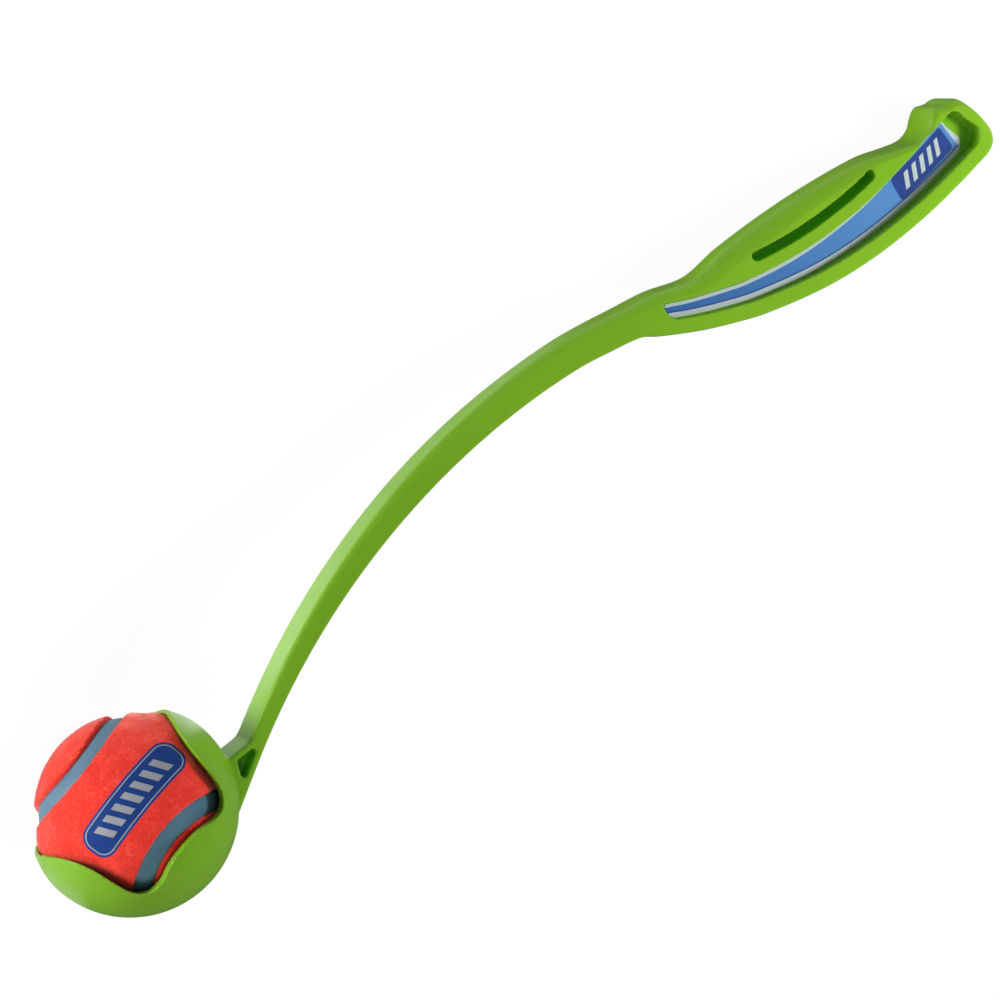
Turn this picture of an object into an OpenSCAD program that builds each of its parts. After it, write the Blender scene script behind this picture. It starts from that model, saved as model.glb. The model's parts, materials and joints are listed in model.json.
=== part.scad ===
// Dog ball launcher: a one-piece moulded wand that holds a felt ball in an open cup.
// Millimetres. The wand is drawn around the ball's centre, with X from the ball to the butt,
// Y to the open side of the cup and Z across the wand, and is then laid down on its side.

/* [Ball] */
// Diameter over the pressed felt
ball_d = 63.4; // [56:0.2:68]
// Thickness of the felt cover
felt_t = 2.6; // [1.8:0.1:3.6]
// Glue layer under the felt and the seam
glue_t = 0.3; // [0.2:0.05:0.6]
// Wall of the hollow rubber core
core_wall = 3.5; // [2.5:0.1:5]
// Width of the seam band between the two felt panels
seam_w = 6.4; // [4:0.2:9]
// How far the seam band lies below the felt
seam_sink = 0.7; // [0.3:0.1:1.2]
// Side gap between the seam band and each felt panel
seam_gap = 0.15; // [0.1:0.05:0.4]
// Angle from the middle of a felt panel's waist to the seam, seen from the ball's centre
seam_waist = 40; // [34:1:44]

/* [Cup] */
// Running gap between the ball and the cup
ball_gap = 0.3; // [0.3:0.05:0.6]
// Wall of the cup
cup_wall = 4.5; // [4:0.1:6]
// Lean of the cup's mouth, away from square to the wand
mouth_lean = 12; // [0:1:20]
// Height of the jaw tips above the ball's centre
jaw_reach = 14; // [13:0.2:16.4]
// Width between the jaws, across a side window
window_w = 51; // [44:1:56]
// Depth of a side window's two corners below the ball's centre
window_drop = 13; // [8:0.5:16]
// Rise of the bump between those corners
bump_rise = 4.7; // [2:0.1:7]
// Distance between the two corners
corner_pitch = 35.4; // [28:0.2:38]

/* [Neck] */
// Where the straight neck ends and the bow begins, from the ball's centre towards the butt
neck_x = 46; // [44:1:52]
// The same point, towards the open side
neck_y = -8.5; // [-10:0.1:-6]
// Slope of the neck
neck_angle = 33.2; // [30:0.2:35]
// Height at which the upper strap meets the cup
strap_y = -4.9; // [-8:0.1:-3]
// Wall left round the triangular pocket
strap_t = 2.4; // [1.8:0.1:3]
// Corner radius of the triangular pocket
strap_r = 1.2; // [0.6:0.1:1.6]
// Web left between the pockets of the two sides
strap_web = 2.4; // [1.6:0.2:5]

/* [Shaft] */
// Radius of the bowed centre line
bow_r = 272; // [230:1:340]
// Depth of the shaft at the neck
shaft_depth_neck = 5.9; // [5.4:0.1:8]
// Depth of the shaft where the grip begins
shaft_depth_grip = 11.2; // [10:0.1:14]
// Thickness of the shaft
shaft_thick = 14; // [12:0.1:16]
// Edge rounding of the shaft at the neck
shaft_edge = 0.9; // [0.4:0.1:1.6]

/* [Grip] */
// Distance from the ball's centre to the end of the butt
reach = 408.2; // [385:0.2:450]
// Length of the grip
grip_len = 163.2; // [146:0.2:180]
// Thickness of the grip
grip_thick = 19; // [16:0.2:24]
// Edge rounding along the palm
palm_edge = 6; // [4:0.1:7]
// Edge rounding along the belly
belly_edge = 1.6; // [0.8:0.1:2.4]
// How far the belly hangs below the end of the shaft
belly_drop = 37.7; // [32:0.1:42]
// How far the thumb dip lies below the end of the shaft
thumb_dip = 12.5; // [9:0.1:14]
// Rise of the butt's hump above the thumb dip
hump_rise = 5.9; // [4:0.1:8]
// Distance from the top of the hump to the end of the butt
hump_back = 16.8; // [15:0.2:20]
// Depth of the grooves between the thumb ridges
ridge_depth = 0.5; // [0.2:0.1:1]
// Distance between the thumb ridges
ridge_pitch = 7.4; // [6:0.2:8]
// Rounding of the butt's end
butt_round = 4.6; // [3:0.2:6]

/* [Label recess and slot] */
// Thickness of the web between the two recesses, at their broad ends
web_t = 6; // [4:0.2:9]
// How far a recess floor rises towards its narrow end
recess_rise = 4; // [0:0.1:4.6]
// Width of the belly wall beside a recess
rim_w = 6.3; // [5:0.1:8]
// Greatest width of a recess
recess_w = 16.6; // [13:0.2:17]
// Distance from the grip's start to the narrow end of a recess
recess_start = 13.4; // [10:0.2:20]
// Distance from the broad end of a recess to the end of the butt
recess_end = 6; // [5:0.2:9]
// Gap between the label and the recess wall
label_gap = 0.7; // [0.3:0.1:1.2]
// How far the label stops short of the broad end
label_short = 5; // [2:0.2:10]
// Thickness of the label film
label_t = 0.3; // [0.2:0.05:0.6]
// Width of the slot
slot_w = 3.8; // [2.4:0.1:4.2]
// Length of the slot
slot_len = 59; // [40:1:62]
// Depth of the slot
slot_depth = 6.4; // [2:0.2:7]
// Land between the recess and the slot
slot_land = 4.9; // [4:0.1:5.6]

/* [Hidden] */
$fn = 96;

plastic = [0.55, 0.75, 0.22];
film = [0.38, 0.60, 0.82];
rubber = [0.25, 0.27, 0.30];
felt = [1.00, 0.30, 0.22];
band = [0.34, 0.50, 0.60];

// How the ball lies in the cup
ball_turn = [23, -16, -123];

ball_r = ball_d / 2;
bed_r = ball_r - felt_t;
core_r = bed_r - glue_t;
seam_r = ball_r - seam_sink;
seat_r = ball_r + ball_gap;
cup_r = seat_r + cup_wall;
mouth_angle = 90 + mouth_lean;

grip_x = reach - grip_len;
hump_x = reach - hump_back;
grip_half = grip_thick / 2;
shaft_half = shaft_thick / 2;

// The bow leaves the neck along the neck's own slope
bow_x = neck_x + bow_r * sin(neck_angle);
bow_y = neck_y - bow_r * cos(neck_angle);

// Steps round one corner of a section, and along the round end of the butt
corner_steps = 4;
butt_steps = 28;
butt_sweep = 86;
// How softly the upper strap bends away from the neck
bend = 0.8;
// How far the neck runs into the wall of the cup, and where its first section lies
root_r = cup_r - cup_wall * 0.55;
root_x = cup_r * 0.71;
// Room past the part for cuts that go right through
past = 60;

// The grip's outline: share of its length, and share of the drop or dip at that place
belly_shape = [[-0.075, 0.112], [0.006, 0.187], [0.036, 0.27], [0.084, 0.385],
               [0.145, 0.518], [0.215, 0.646], [0.29, 0.765], [0.45, 0.932],
               [0.594, 0.998], [0.744, 0.99], [0.856, 0.94], [0.953, 0.876], [1, 0.847]];
palm_shape = [[-0.075, -0.58], [0.006, -0.386], [0.091, -0.2], [0.19, 0.161],
              [0.288, 0.051], [0.415, 0.075], [0.561, 0.251], [0.699, 0.555],
              [0.78, 0.883], [0.825, 1], [0.857, 0.883]];
// Share of the grip's length, and share of the palm's greatest edge rounding
edge_shape = [[0, 0.5], [0.33, 1], [0.6, 0.8], [0.74, 0.45], [0.825, 0.28], [0.9, 0.45], [1, 0.6]];
// Share of the grip's length, and share of the greatest width of the recess
recess_shape = [[0.08, 0.43], [0.2, 0.485], [0.35, 0.555], [0.515, 0.69], [0.65, 0.805],
                [0.72, 0.885], [0.8, 0.957], [0.89, 1], [1, 0.98]];

function clamp(v) = min(1, max(0, v));
function mix(a, b, t) = a + (b - a) * t;
function ease(t) = let (c = clamp(t)) c * c * (3 - 2 * c);
function quarter(t) = sqrt(max(0, 1 - t * t));
function softmax(a, b, w) = (a + b + sqrt((a - b) * (a - b) + w * w)) / 2;

// A smooth curve through points that are sorted along their first value
function place(p, x) = max([for (i = [0:len(p) - 2]) if (i == 0 || p[i][0] <= x) i]);
function tilt(p, i) = let (a = p[max(i - 1, 0)], b = p[min(i + 1, len(p) - 1)])
    (b[1] - a[1]) / (b[0] - a[0]);
function curve(p, x) =
    let (i = place(p, x), w = p[i + 1][0] - p[i][0], t = clamp((x - p[i][0]) / w))
    p[i][1] * (1 + 2 * t) * (1 - t) * (1 - t) + w * tilt(p, i) * t * (1 - t) * (1 - t)
    + p[i + 1][1] * t * t * (3 - 2 * t) + w * tilt(p, i + 1) * t * t * (t - 1);

// Shaft and neck: an arc, and its tangent on the neck's side
function bow_at(x) = x < neck_x ? neck_y + (x - neck_x) * tan(neck_angle)
    : bow_y + sqrt(bow_r * bow_r - (x - bow_x) * (x - bow_x));
function bow_slope(x) = x < neck_x ? neck_angle : -asin((x - bow_x) / bow_r);
function half_depth(x) =
    mix(shaft_depth_neck, shaft_depth_grip, sin(90 * clamp((x - neck_x) / (grip_x - neck_x))))
    / 2 / cos(bow_slope(x));
function shaft_top(x) = softmax(bow_at(x) + half_depth(x), strap_y, bend);
function shaft_low(x) = bow_at(x) - half_depth(x);

// Grip: its edges leave the shaft's edges and follow the outline above
grip_y = bow_at(grip_x);
dip_y = grip_y - thumb_dip;
hump_y = dip_y + hump_rise;
butt_drop = 1.04;
butt_y = dip_y - butt_drop * thumb_dip;
// Where the hump's front ends, and how far below its top
hump_foot = 3.2;
hump_start = 0.29;
// How the hump's top falls away, how the butt's end rises over its length, and their corner
hump_fall = 0.16;
end_rise = 13.3;
end_len = 4;
end_bow = 0.71;
hump_corner = 2.4;
// The grip's outline is followed from here, a little before the grip
lead = 24;
lead_x = grip_x - lead;
function along(x) = (x - grip_x) / grip_len;
function shaft_points(low) = [for (x = [lead_x - lead, lead_x - lead / 2, lead_x])
    [along(x), low ? shaft_low(x) : shaft_top(x)]];
function hump_line(x) = hump_y - hump_fall * (x - hump_x);
function end_line(x) = butt_y + end_rise * pow(max(0, reach - x) / end_len, end_bow);
palm_points = concat(shaft_points(false),
    [for (p = palm_shape) [p[0], grip_y - p[1] * thumb_dip]],
    [[along(hump_x - hump_foot), hump_y - hump_start * hump_rise], [along(hump_x), hump_y],
     [along(hump_x + hump_foot), hump_line(hump_x + hump_foot)]]);
belly_points = concat(shaft_points(true),
    [for (p = belly_shape) [p[0], grip_y - p[1] * belly_drop]]);

// Two grooves across the top of the hump
function ridge(x) = x > hump_x + 2 * ridge_pitch ? 0
    : ridge_depth / 2 * (1 - cos(360 * (x - hump_x) / ridge_pitch));
function top_at(x) = x < lead_x ? shaft_top(x)
    : x < hump_x ? curve(palm_points, along(x))
    : max(butt_y, -softmax(-hump_line(x), -end_line(x), hump_corner) - ridge(x));
function low_at(x) =
    let (y = x < lead_x ? shaft_low(x) : curve(belly_points, along(x)),
         t = clamp((x - hump_x) / hump_back))
    mix(butt_y, y, quarter(max(0, 2 * t - 1)));
// The wand thickens from a third of the grip's length before the grip
swell_from = 0.33;
swell_len = 0.6;
function half_at(x) =
    let (t = clamp((x - reach + butt_round) / butt_round))
    mix(shaft_half, grip_half, ease((along(x) + swell_from) / swell_len))
    - butt_round * (1 - quarter(t));
function palm_round(x) = x < grip_x
    ? mix(shaft_edge, palm_edge * edge_shape[0][1], ease((x - neck_x) / (grip_x - neck_x)))
    : palm_edge * curve(edge_shape, along(x));
function belly_round(x) = mix(shaft_edge, belly_edge, ease((x - bow_x) / (grip_x - bow_x)));
// No rounding takes more than this share of half the depth or half the thickness
round_share = 0.9;
function fit_round(r, x) = min(r, round_share * min((top_at(x) - low_at(x)) / 2, half_at(x)));

// One section of the wand, across X
function corner(x, y, z, r, from) = [for (i = [0:corner_steps])
    let (a = from + 90 * i / corner_steps) [x, y + r * cos(a), z + r * sin(a)]];
function section(x) =
    let (top = top_at(x), low = low_at(x), half = half_at(x),
         p = fit_round(palm_round(x), x), b = fit_round(belly_round(x), x))
    concat(corner(x, top - p, half - p, p, 0), corner(x, low + b, half - b, b, 90),
           corner(x, low + b, b - half, b, 180), corner(x, top - p, p - half, p, 270));

dip_share = 0.77;
dip_x = grip_x + dip_share * grip_len;
function steps(from, to, count) = [for (i = [0:count - 1]) mix(from, to, i / count)];
stations = concat(steps(root_x, neck_x, 16), steps(neck_x, grip_x, 22),
    steps(grip_x, dip_x, 34), steps(dip_x, hump_x, 14),
    [for (i = [0:butt_steps]) hump_x + hump_back * sin(butt_sweep * i / butt_steps)]);

// The solid through a list of closed sections that have equally many points
module loft(sections) {
    n = len(sections[0]);
    last = len(sections) - 1;
    points = [for (s = sections) each s];
    sides = [for (i = [0:last - 1]) for (j = [0:n - 1])
        let (a = i * n + j, b = i * n + (j + 1) % n)
        each [[a, a + n, b], [b, a + n, b + n]]];
    ends = [[for (j = [0:n - 1]) j], [for (j = [n - 1:-1:0]) last * n + j]];
    polyhedron(points, concat(sides, ends), convexity = 8);
}

// A long pocket between two edges, with round corners at its ends
function strip_half(h, x, from, to, r1, r2) =
    h - r1 * (1 - quarter(clamp((from + r1 - x) / r1))) - r2 * (1 - quarter(clamp((x - to + r2) / r2)));
function strip_stations(from, to, r1, r2) = concat(
    [for (a = [0:15:75]) from + r1 * (1 - cos(a))],
    steps(from + r1, to - r2, 24),
    [for (a = [0:15:90]) to - r2 + r2 * sin(a)]);

recess_x1 = grip_x + recess_start;
recess_x2 = reach - recess_end;
recess_r1 = 2.6;
recess_r2 = 5;
// The broad end leans back by this much at its palm side, over this length
recess_lean = 3.4;
lean_len = 20;
recess_tilt = atan(recess_rise / (recess_x2 - recess_x1));
function recess_low(x) = curve(belly_points, along(x)) + rim_w;
function recess_width(x) = recess_w * curve(recess_shape, along(x));
function recess_mid(x) = recess_low(x) + recess_width(x) / 2;
function recess_top(x) = recess_low(x) + recess_width(x);
function leaned(x) = x - recess_lean * ease(1 - (recess_x2 - x) / lean_len);

// The recess outline drawn in by a gap all round, and cut short at its broad end
module recess_outline(gap = 0, short = 0) {
    x1 = recess_x1 + gap;
    x2 = recess_x2 - gap - short;
    r1 = recess_r1 - gap;
    r2 = recess_r2 - gap;
    xs = strip_stations(x1, x2, r1, r2);
    half = [for (x = xs) strip_half(recess_width(x) / 2 - gap, x, x1, x2, r1, r2)];
    count = len(xs);
    polygon(concat(
        [for (i = [0:count - 1]) [xs[i], recess_mid(xs[i]) - half[i]]],
        [for (i = [count - 1:-1:0]) [leaned(xs[i]), recess_mid(xs[i]) + half[i]]]));
}

// The recess floor slopes up from the broad end, and carries the label
module on_floor() {
    translate([recess_x2, 0, web_t / 2]) rotate([0, recess_tilt, 0]) translate([-recess_x2, 0, 0])
        children();
}

slot_share = 0.322;
slot_x1 = grip_x + slot_share * grip_len;
module slot_outline() {
    r = slot_w / 2;
    xs = strip_stations(slot_x1, slot_x1 + slot_len, r, r);
    half = [for (x = xs) strip_half(r, x, slot_x1, slot_x1 + slot_len, r, r)];
    mid = [for (x = xs) recess_top(x) + slot_land + r];
    count = len(xs);
    polygon(concat(
        [for (i = [0:count - 1]) [xs[i], mid[i] - half[i]]],
        [for (i = [count - 2:-1:1]) [xs[i], mid[i] + half[i]]]));
}

// A triangle with round corners
function unit(v) = v / norm(v);
function round_corner(a, b, c, r) =
    let (u = unit(a - b), v = unit(c - b), half = acos(u * v) / 2,
         m = b + unit(u + v) * r / sin(half), start = b + u * r / tan(half) - m,
         turn = cross(u, v) < 0 ? 180 - 2 * half : 2 * half - 180)
    [for (i = [0:6]) let (t = turn * i / 6)
        m + [start.x * cos(t) - start.y * sin(t), start.x * sin(t) + start.y * cos(t)]];

// The pocket's walls keep one thickness to the strap, to the neck's low edge and to the cup
pocket_r = cup_r + strap_t;
pocket_top = strap_y - strap_t;
pocket_low = shaft_low(neck_x) + strap_t / cos(neck_angle) - neck_x * tan(neck_angle);
pocket_q = pocket_low * sin(neck_angle) * cos(neck_angle);
pocket_c = pocket_low * cos(neck_angle);
pocket_foot = -pocket_q + sqrt(pocket_r * pocket_r - pocket_c * pocket_c) * cos(neck_angle);
pocket_corners = [
    [sqrt(pocket_r * pocket_r - pocket_top * pocket_top), pocket_top],
    [pocket_foot, pocket_low + pocket_foot * tan(neck_angle)],
    [(pocket_top - pocket_low) / tan(neck_angle), pocket_top]];
module neck_pocket() {
    c = pocket_corners;
    linear_extrude(past)
        polygon([for (i = [0:2]) each round_corner(c[(i + 2) % 3], c[i], c[(i + 1) % 3], strap_r)]);
}

// A side window of the cup: X across the jaws, Y along the mouth
window_half = window_w / 2;
corner_half = corner_pitch / 2;
jaw_flare = 8;
corner_y = -window_drop + 9;
jaw_y = 5.5;
function window_edge(s) = concat(
    [for (b = [0:corner_half / 8:corner_half - 0.1])
        [s * b, rim_y(b)]],
    [for (a = [0:15:90]) [s * mix(corner_half, window_half, sin(a)),
        mix(corner_y, -window_drop, cos(a))]],
    [for (a = [0:15:90]) [s * (window_half + 1 + jaw_flare * (1 - cos(a))),
        jaw_y + (jaw_reach - jaw_y) * sin(a)]],
    [[s * past, jaw_reach], [s * past, past]]);
module cup_window() {
    right = window_edge(1);
    left = window_edge(-1);
    rotate(mouth_angle - 90)
        linear_extrude(2 * past, center = true)
            polygon(concat(right, [for (i = [len(left) - 1:-1:1]) left[i]]));
}

module ball_seat() {
    sphere(seat_r);
    rotate(mouth_angle) rotate([0, 90, 0]) cylinder(r = seat_r, h = past);
}

// The wand lies on its side, on the rim of the lower side window and on the edge of the butt
function rim_y(b) = -window_drop + bump_rise / 2 * (1 + cos(180 * b / corner_half));
function rim_z(b) = sqrt(cup_r * cup_r - b * b - rim_y(b) * rim_y(b));
lie_x = reach - butt_round;
lie_z = grip_half - butt_round;
lie_angle = asin((rim_z(0) - butt_round) / norm([lie_x, lie_z])) - atan2(lie_z, lie_x);
box_x = (lie_x * cos(lie_angle) + lie_z * sin(lie_angle) + butt_round - cup_r) / 2;
box_y = (bow_y + bow_r + half_depth(bow_x) - cup_r) / 2;
// The lowest point of that rim, once the wand is tipped
box_z = max([for (b = [0:0.25:6])
    (b * sin(mouth_angle) + rim_y(b) * cos(mouth_angle)) * sin(lie_angle)
    + rim_z(b) * cos(lie_angle)]);
module laid() {
    translate([-box_x, -box_y, box_z]) rotate([0, lie_angle, 0]) children();
}

module cup() {
    difference() {
        sphere(cup_r);
        ball_seat();
        cup_window();
    }
}

module stick() {
    difference() {
        loft([for (x = stations) section(x)]);
        sphere(root_r);
        for (side = [0, 1]) mirror([0, 0, side]) {
            translate([0, 0, strap_web / 2]) neck_pocket();
            on_floor() linear_extrude(grip_thick) recess_outline();
            translate([0, 0, grip_half - slot_depth]) linear_extrude(grip_thick) slot_outline();
        }
    }
}

module wand() {
    color(plastic) laid() {
        cup();
        stick();
    }
}

module grip_label() {
    color(film) laid() on_floor()
        linear_extrude(label_t) recess_outline(label_gap, label_short);
}

// The ball's seam, on a sphere of radius 1, and the same line moved sideways by an angle
seam_a = (1 + sin(seam_waist)) / 2;
seam_b = 1 - seam_a;
function seam_line(t) = [seam_a * cos(t) + seam_b * cos(3 * t),
    seam_a * sin(t) - seam_b * sin(3 * t), 2 * sqrt(seam_a * seam_b) * sin(2 * t)];
function seam_side(t) = unit(cross(seam_line(t), seam_line(t + 0.1) - seam_line(t - 0.1)));
function beside_seam(t, angle) = seam_line(t) * cos(angle) + seam_side(t) * sin(angle);
function arc_angle(width) = width / 2 / ball_r * 180 / PI;

panel_rows = 56;
panel_columns = 12;
// One row of a panel, from one edge to the other on the outside and back on the inside
function panel_row(k) =
    let (t = -45 + 180 * (k + 0.5) / panel_rows, angle = arc_angle(seam_w),
         a = beside_seam(t, angle), b = beside_seam(270 - t, angle),
         line = [for (i = [0:panel_columns]) unit(mix(a, b, i / panel_columns))])
    concat(ball_r * line, bed_r * [for (i = [panel_columns:-1:0]) line[i]]);

module felt_panel() {
    loft([for (k = [0:panel_rows - 1]) panel_row(k)]);
}

module felt_panel_front() {
    color(felt) laid() rotate(ball_turn) felt_panel();
}

module felt_panel_back() {
    color(felt) laid() rotate(ball_turn) rotate([180, 0, 0]) felt_panel();
}

seam_steps = 120;
module ball_seam() {
    angle = arc_angle(seam_w - 2 * seam_gap);
    rings = [for (k = [0:seam_steps - 1]) let (t = 360 * k / seam_steps)
        concat([for (i = [-1, 0, 1]) seam_r * beside_seam(t, angle * i)],
               [for (i = [1, 0, -1]) bed_r * beside_seam(t, angle * i)])];
    n = len(rings[0]);
    color(band) laid() rotate(ball_turn) polyhedron([for (r = rings) each r],
        [for (k = [0:seam_steps - 1]) for (j = [0:n - 1])
            let (a = k * n + j, b = k * n + (j + 1) % n, m = n * seam_steps,
                 c = (a + n) % m, d = (b + n) % m)
            each [[a, c, b], [b, c, d]]]);
}

module half_core() {
    rotate_extrude() intersection() {
        difference() {
            circle(core_r);
            circle(core_r - core_wall);
        }
        square(core_r);
    }
}

module ball_core_front() {
    color(rubber) laid() rotate(ball_turn) half_core();
}

module ball_core_back() {
    color(rubber) laid() rotate(ball_turn) rotate([180, 0, 0]) half_core();
}

wand();
grip_label();
ball_core_front();
ball_core_back();
felt_panel_front();
felt_panel_back();
ball_seam();
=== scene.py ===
import json
import math
import random

import bmesh
import bpy
from mathutils import Euler, Matrix, Vector, kdtree, noise


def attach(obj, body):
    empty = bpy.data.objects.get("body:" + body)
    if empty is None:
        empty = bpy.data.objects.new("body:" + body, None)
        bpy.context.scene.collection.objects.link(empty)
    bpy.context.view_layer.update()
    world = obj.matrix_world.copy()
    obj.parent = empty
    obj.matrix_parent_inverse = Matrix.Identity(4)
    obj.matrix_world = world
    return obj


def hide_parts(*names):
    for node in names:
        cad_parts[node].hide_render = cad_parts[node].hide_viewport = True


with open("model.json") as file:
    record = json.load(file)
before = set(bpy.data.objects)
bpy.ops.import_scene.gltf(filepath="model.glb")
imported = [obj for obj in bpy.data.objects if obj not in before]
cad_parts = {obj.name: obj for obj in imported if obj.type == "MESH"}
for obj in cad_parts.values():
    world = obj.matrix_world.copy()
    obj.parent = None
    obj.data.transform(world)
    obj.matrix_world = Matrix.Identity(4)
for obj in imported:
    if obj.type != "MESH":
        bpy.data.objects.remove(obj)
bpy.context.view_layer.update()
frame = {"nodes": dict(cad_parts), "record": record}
record = frame["record"]
mm = 0.001

# the wand is drawn in millimetres round the ball's centre, then laid down as the frame has it
mounts = {m["name"]: m for m in record["mounts"]}
ballCentre = Vector(mounts["ball_seat"]["pos_m"])
mouthAxis = Vector(record["behaviour"]["joints"][0]["axis"])
lieAngle = math.atan2(mouthAxis.z, -mouthAxis.x)
laidDown = (Matrix.Translation(ballCentre) @ Matrix.Rotation(lieAngle, 4, "Y")
            @ Matrix.Scale(mm, 4))


def clamp(v):
    return min(1.0, max(0.0, v))


def mix(a, b, t):
    return a + (b - a) * t


def ease(t):
    c = clamp(t)
    return c * c * (3 - 2 * c)


def quarter(t):
    return math.sqrt(max(0.0, 1 - t * t))


# smooth curve through points that are sorted along their first value
def curveAt(points, x):
    last = len(points) - 1
    i = max(k for k in range(last) if k == 0 or points[k][0] <= x)

    def tilt(k):
        a, b = points[max(k - 1, 0)], points[min(k + 1, last)]
        return (b[1] - a[1]) / (b[0] - a[0])
    w = points[i + 1][0] - points[i][0]
    t = clamp((x - points[i][0]) / w)
    s = 1 - t
    return (points[i][1] * (1 + 2 * t) * s * s + w * tilt(i) * t * s * s
            + points[i + 1][1] * t * t * (3 - 2 * t) - w * tilt(i + 1) * t * t * s)


# mesh helpers

def makePiece(name, bm, smooth=True):
    mesh = bpy.data.meshes.new(name)
    bm.to_mesh(mesh)
    bm.free()
    for face in mesh.polygons:
        face.use_smooth = smooth
    piece = bpy.data.objects.new(name, mesh)
    bpy.context.scene.collection.objects.link(piece)
    return piece


def applyModifiers(piece):
    bpy.context.view_layer.update()
    shown = piece.evaluated_get(bpy.context.evaluated_depsgraph_get())
    mesh = bpy.data.meshes.new_from_object(shown)
    old = piece.data
    piece.modifiers.clear()
    piece.data = mesh
    bpy.data.meshes.remove(old)


def cutAway(piece, cutters):
    for cutter in cutters:
        cut = piece.modifiers.new("cut", "BOOLEAN")
        cut.operation = "DIFFERENCE"
        cut.solver = "EXACT"
        cut.object = cutter
    applyModifiers(piece)
    for cutter in cutters:
        mesh = cutter.data
        bpy.data.objects.remove(cutter)
        bpy.data.meshes.remove(mesh)


# skins a row of rings, and caps both ends or joins the last ring to the first
def loftRings(bm, rings, closed=False):
    loops = []
    for ring in rings:
        verts = [bm.verts.new(p) for p in ring]
        loops.append([bm.edges.new((v, verts[i - 1])) for i, v in enumerate(verts)])
    pairs = list(zip(loops, loops[1:]))
    if closed:
        pairs.append((loops[-1], loops[0]))
    for a, b in pairs:
        bmesh.ops.bridge_loops(bm, edges=a + b)
    if not closed:
        bmesh.ops.edgeloop_fill(bm, edges=loops[0])
        bmesh.ops.edgeloop_fill(bm, edges=loops[-1])
    bmesh.ops.recalc_face_normals(bm, faces=bm.faces)


# a flat outline pulled up into a solid, for cutting
def makePrism(name, outline, low, high, turn=None):
    bm = bmesh.new()
    verts = [bm.verts.new((x, y, low)) for x, y in outline]
    edges = [bm.edges.new((v, verts[i - 1])) for i, v in enumerate(verts)]
    bmesh.ops.edgeloop_fill(bm, edges=edges)
    raised = bmesh.ops.extrude_face_region(bm, geom=bm.faces[:])
    top = [v for v in raised["geom"] if isinstance(v, bmesh.types.BMVert)]
    bmesh.ops.translate(bm, verts=top, vec=(0, 0, high - low))
    if turn:
        bmesh.ops.transform(bm, matrix=turn, verts=bm.verts)
    bmesh.ops.recalc_face_normals(bm, faces=bm.faces)
    return makePiece(name, bm)


# node helpers

def newMaterial(name):
    mat = bpy.data.materials.new(name)
    mat.use_nodes = True
    tree = mat.node_tree
    return mat, tree, tree.nodes["Principled BSDF"]


def addNode(tree, kind, **values):
    node = tree.nodes.new(kind)
    for key, value in values.items():
        if hasattr(node, key):
            setattr(node, key, value)
        else:
            node.inputs[key.replace("_", " ")].default_value = value
    return node


def join(tree, a, b):
    tree.links.new(a, b)


def objectSpace(tree, place=(0, 0, 0), turn=(0, 0, 0), scale=(1, 1, 1)):
    coord = addNode(tree, "ShaderNodeTexCoord")
    mapping = addNode(tree, "ShaderNodeMapping")
    mapping.inputs["Location"].default_value = place
    mapping.inputs["Rotation"].default_value = turn
    mapping.inputs["Scale"].default_value = scale
    join(tree, coord.outputs["Object"], mapping.inputs["Vector"])
    return mapping.outputs["Vector"]


def noiseField(tree, space, scale, detail=3.0, roughness=0.5):
    field = addNode(tree, "ShaderNodeTexNoise", Scale=scale, Detail=detail, Roughness=roughness)
    join(tree, space, field.inputs["Vector"])
    return field.outputs["Fac"]


def spread(tree, value, low, high, toLow=0.0, toHigh=1.0):
    node = addNode(tree, "ShaderNodeMapRange")
    node.inputs["From Min"].default_value = low
    node.inputs["From Max"].default_value = high
    node.inputs["To Min"].default_value = toLow
    node.inputs["To Max"].default_value = toHigh
    join(tree, value, node.inputs["Value"])
    return node.outputs["Result"]


def maths(tree, operation, a, b=None):
    node = addNode(tree, "ShaderNodeMath", operation=operation)
    for socket, value in zip(node.inputs, (a, b)):
        if value is None:
            continue
        if isinstance(value, (int, float)):
            socket.default_value = value
        else:
            join(tree, value, socket)
    return node.outputs["Value"]


def mixFields(tree, a, b, share):
    return maths(tree, "ADD", maths(tree, "MULTIPLY", a, 1 - share), maths(tree, "MULTIPLY", b, share))


def blendColour(tree, factor, a, b):
    node = addNode(tree, "ShaderNodeMix", data_type="RGBA")
    join(tree, factor, node.inputs["Factor"])
    for socket, value in ((node.inputs[6], a), (node.inputs[7], b)):
        if isinstance(value, tuple):
            socket.default_value = (*value, 1.0)
        else:
            join(tree, value, socket)
    return node.outputs[2]


def addBump(tree, shader, height, strength, distance):
    bump = addNode(tree, "ShaderNodeBump", Strength=strength, Distance=distance)
    join(tree, height, bump.inputs["Height"])
    join(tree, bump.outputs["Normal"], shader.inputs["Normal"])


# wand: shaft, neck and grip

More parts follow.
